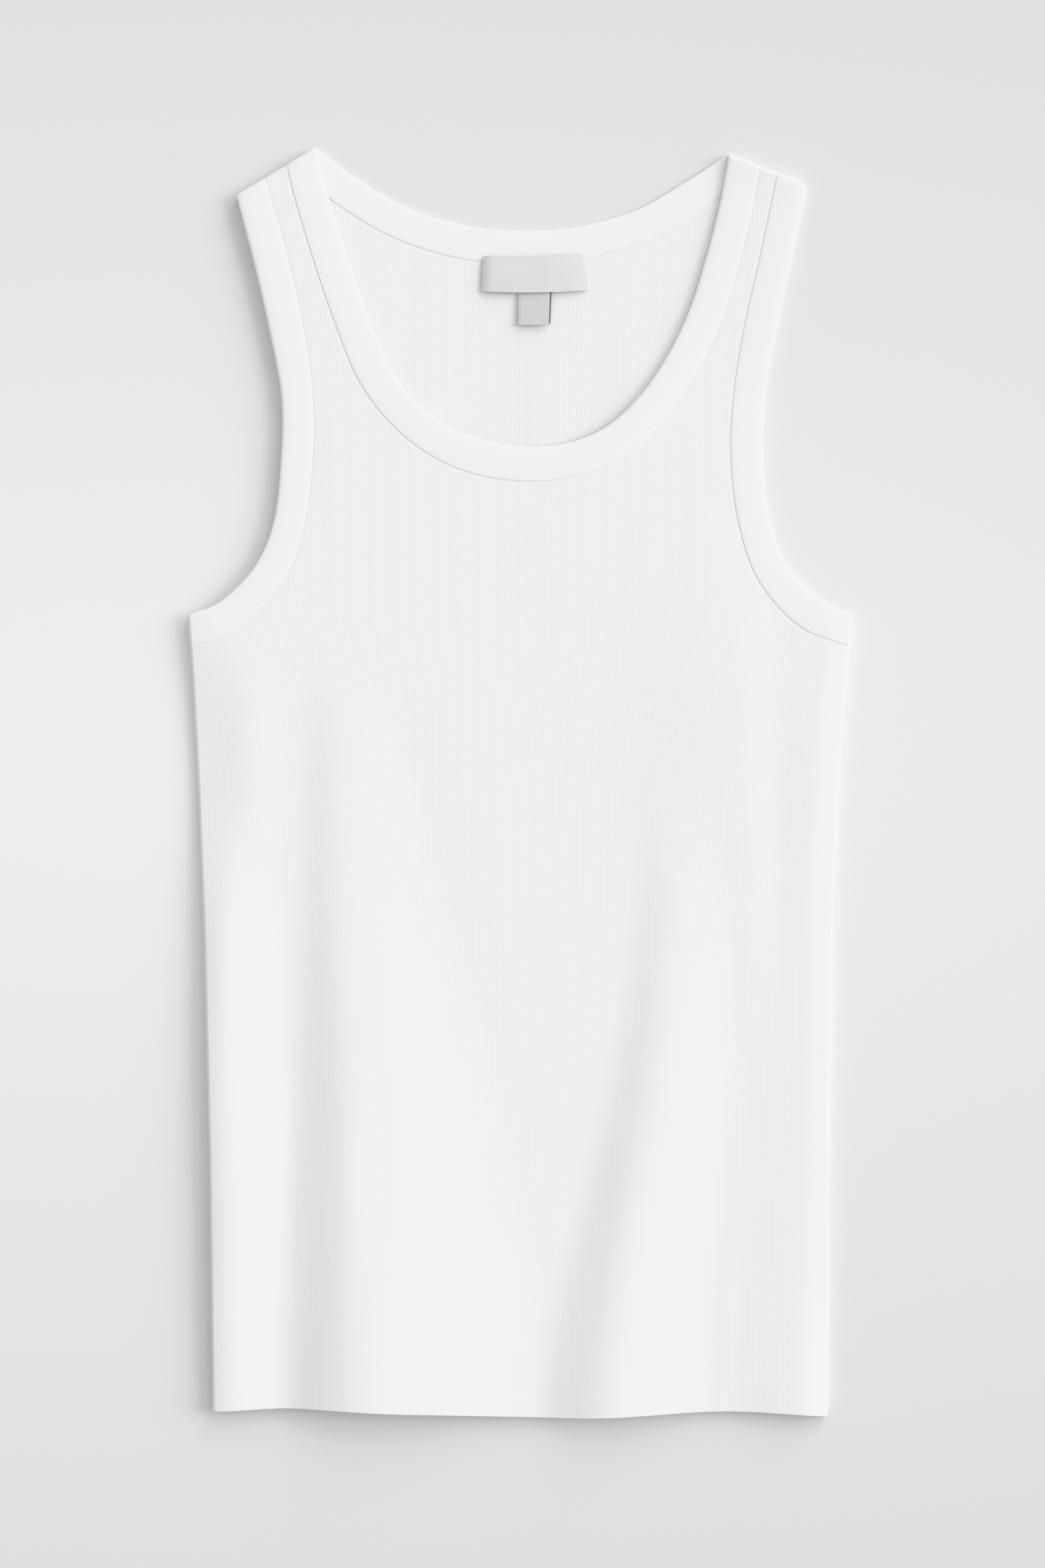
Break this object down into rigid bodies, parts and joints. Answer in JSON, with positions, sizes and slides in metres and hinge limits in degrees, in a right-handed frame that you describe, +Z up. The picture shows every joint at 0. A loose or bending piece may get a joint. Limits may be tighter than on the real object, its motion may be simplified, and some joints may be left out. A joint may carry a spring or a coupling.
{
  "type": "tank top",
  "caption": "Sleeveless rib-knit tank top laid flat, front up: scoop neck, shallow back neck, wide straps, bound neckline and armholes, open hem, bare label inside the back neck.",
  "frame": {"origin": "middle of the garment's outline, on the surface it lies on", "axes": "+Y from the hem towards the neck, +Z up out of the surface and out of the front, +X across the garment"},
  "size_m": [0.3186, 0.6085, 0.0074],
  "materials": {
    "rib_knit": "soft matt white cotton rib knit",
    "rib_binding": "soft matt white cotton rib, folded double",
    "label_tape": "woven pale grey satin tape",
    "tab_tape": "woven grey satin tape"
  },
  "bodies": {
    "root": {"front_panel": "rib_knit", "back_panel": "rib_knit", "neck_band": "rib_binding", "armhole_band_left": "rib_binding", "armhole_band_right": "rib_binding", "neck_label": "label_tape", "size_tab": "tab_tape"}
  },
  "joints": []
}
